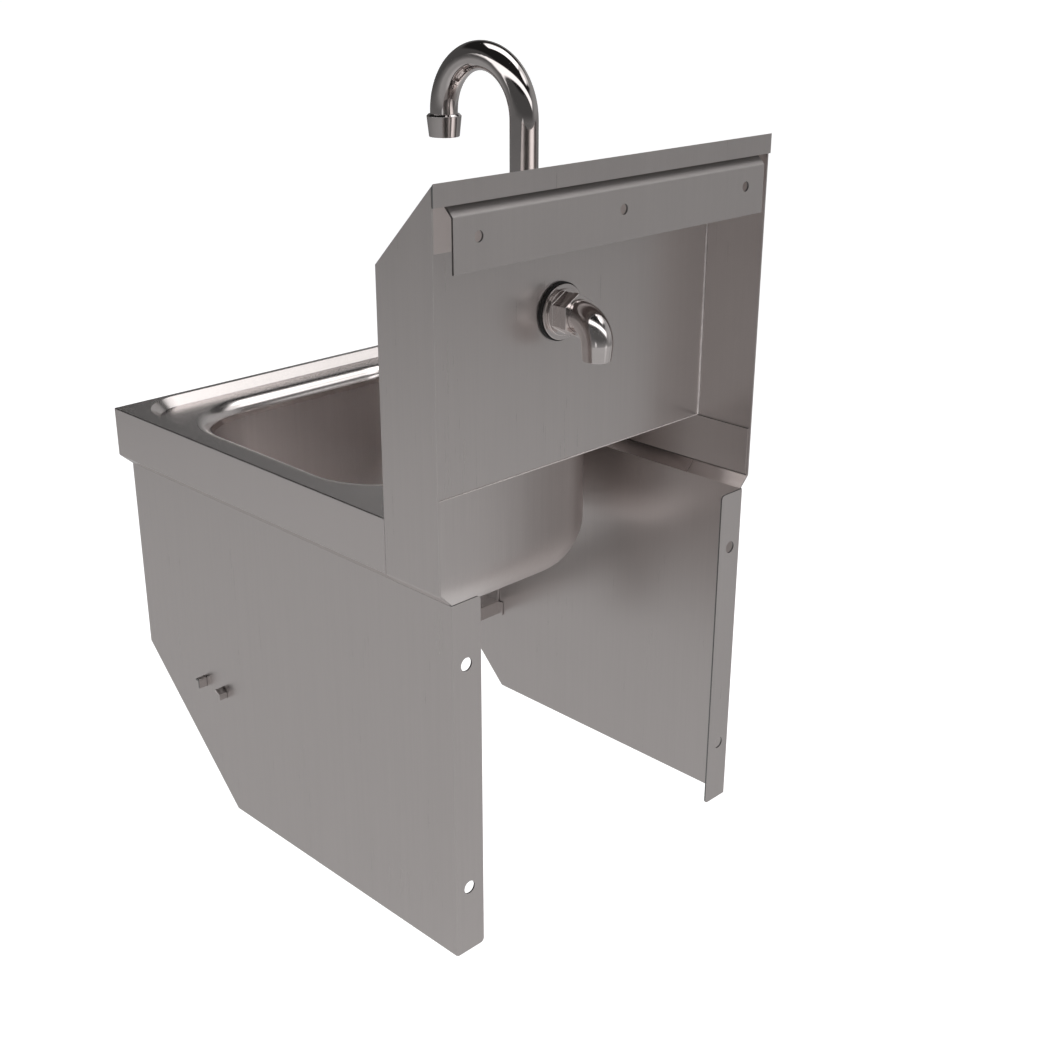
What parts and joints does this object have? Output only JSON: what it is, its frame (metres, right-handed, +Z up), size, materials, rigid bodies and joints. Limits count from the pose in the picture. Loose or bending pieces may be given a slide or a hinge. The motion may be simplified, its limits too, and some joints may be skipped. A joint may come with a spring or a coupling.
{
  "type": "wall-hung hand wash sink",
  "caption": "Narrow wall-hung stainless hand wash sink: deep rounded bowl, backsplash with a sloped top, side panels, hook hanger and a swivelling gooseneck spout.",
  "frame": {"origin": "on the wall plane, at the centre of the four holes in the side panels' wall flanges", "axes": "+Z up, +Y into the wall, -Y the front of the sink, +X to the right of someone who stands at the sink"},
  "size_m": [0.3048, 0.367, 0.5731],
  "materials": {
    "stainless_sheet": "fine satin brushing",
    "polished_chrome": "polished",
    "black_rubber": "matte",
    "brass": "turned",
    "fibre_card": "pressed fibre card",
    "white_plastic": "smooth moulded"
  },
  "bodies": {
    "sink": {"sink_top": "stainless_sheet", "backsplash": "stainless_sheet", "bowl_edge": "stainless_sheet", "bowl_wall": "stainless_sheet", "bowl_bottom": "stainless_sheet", "end_cap_right": "stainless_sheet", "end_cap_left": "stainless_sheet", "backing_strip_right": "stainless_sheet", "backing_strip_left": "stainless_sheet", "side_panel_right": "stainless_sheet", "side_panel_left": "stainless_sheet", "cross_brace": "stainless_sheet", "wall_hanger": "stainless_sheet", "faucet_gasket": "black_rubber", "escutcheon": "polished_chrome", "faucet_body": "polished_chrome", "bonnet_nut": "polished_chrome", "rear_rubber_washer": "black_rubber", "rear_steel_washer": "stainless_sheet", "shank_locknut": "polished_chrome", "coupling_nut": "polished_chrome", "elbow_seal": "black_rubber", "supply_elbow": "polished_chrome", "drain_strainer_cup": "polished_chrome", "drain_rubber_washer": "black_rubber", "drain_card_washer": "fibre_card", "drain_locknut": "brass", "tailpiece": "polished_chrome", "slip_nut": "polished_chrome", "slip_washer": "black_rubber"},
    "spout": {"spout_pipe": "polished_chrome", "spout_spigot": "brass", "spigot_seals": "black_rubber", "outlet_shell": "polished_chrome", "outlet_washer": "black_rubber", "aerator_insert": "white_plastic"},
    "basket": {"strainer_basket": "polished_chrome"}
  },
  "joints": [
    {"name": "spout_swivel", "type": "hinge", "parent": "sink", "child": "spout", "pos_m": [0, -0.0832, 0.2972], "axis": [0, 0, 1], "range_deg": [-90, 90]},
    {"name": "basket_lift", "type": "slide", "parent": "sink", "child": "basket", "axis": [0, 0, 1], "range_m": [0, 0.12]}
  ]
}
